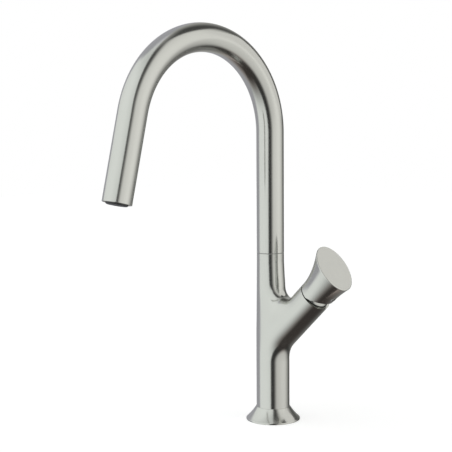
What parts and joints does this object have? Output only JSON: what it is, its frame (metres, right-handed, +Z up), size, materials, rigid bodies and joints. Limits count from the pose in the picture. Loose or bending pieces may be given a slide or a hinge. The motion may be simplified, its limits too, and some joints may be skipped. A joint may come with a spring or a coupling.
{
  "type": "single-lever kitchen faucet",
  "caption": "Deck-mounted kitchen mixer tap with a high swivelling arch spout, and a trumpet-shaped joystick knob on a side branch of its Y-shaped body.",
  "frame": {"origin": "centre of the base flange's underside, on the deck", "axes": "+Z up along the column, -Y towards the spout's outlet, +X towards the handle branch"},
  "size_m": [0.1254, 0.2436, 0.4729],
  "materials": {
    "steel": "satin brushed",
    "stud": "plain zinc-plated steel",
    "zinc": "pressed steel, zinc-plated",
    "brass": "machined brass",
    "seal": "black rubber",
    "plastic": "white acetal",
    "dark_plastic": "dark grey acetal",
    "plug": "silver plug",
    "ceramic": "polished alumina ceramic"
  },
  "bodies": {
    "tap_body": {"faucet_body": "steel", "base_flange": "steel", "deck_seal": "seal", "mounting_stud": "stud", "cartridge_base": "plastic", "port_seals": "seal", "fixed_disc": "ceramic", "cartridge_housing": "plastic", "cartridge_nut": "brass", "swivel_ring": "dark_plastic", "lock_screw": "stud"},
    "spout": {"spout_tube": "steel", "spout_nipple": "brass", "nipple_rings": "seal", "aerator_housing": "brass", "aerator_insert": "dark_plastic", "aerator_washer": "seal"},
    "turning_guide": {"stem_guide": "plastic", "bonnet": "steel"},
    "lever": {"stem": "stud", "stem_pin": "stud", "knob": "steel", "knob_screw": "stud", "screw_plug": "plug"},
    "disc": {"moving_disc": "ceramic", "disc_carrier": "plastic"},
    "deck_clamp": {"clamp_gasket": "seal", "clamp_plate": "zinc", "clamp_nut": "brass"}
  },
  "joints": [
    {"name": "spout_swivel", "type": "hinge", "parent": "tap_body", "child": "spout", "pos_m": [-0.0031, 0, 0.1734], "axis": [0, 0, 1], "continuous": true},
    {"name": "knob_turn", "type": "hinge", "parent": "tap_body", "child": "turning_guide", "pos_m": [0.05791, 0, 0.13514], "axis": [0.723, 0, 0.6909], "range_deg": [-45, 45]},
    {"name": "knob_tilt", "type": "hinge", "parent": "turning_guide", "child": "lever", "pos_m": [0.05249, 0, 0.12996], "axis": [0, 1, 0], "range_deg": [0, 18]},
    {"name": "disc_slide", "type": "slide", "parent": "turning_guide", "child": "disc", "axis": [-0.6909, 0, 0.723], "range_m": [0, 0.0032]},
    {"name": "clamp_slide", "type": "slide", "parent": "tap_body", "child": "deck_clamp", "axis": [0, 0, 1], "range_m": [-0.012, 0.029]}
  ],
  "couplings": [
    {"joint": "disc_slide", "follows": "knob_tilt", "m_per_rad": 0.01}
  ]
}
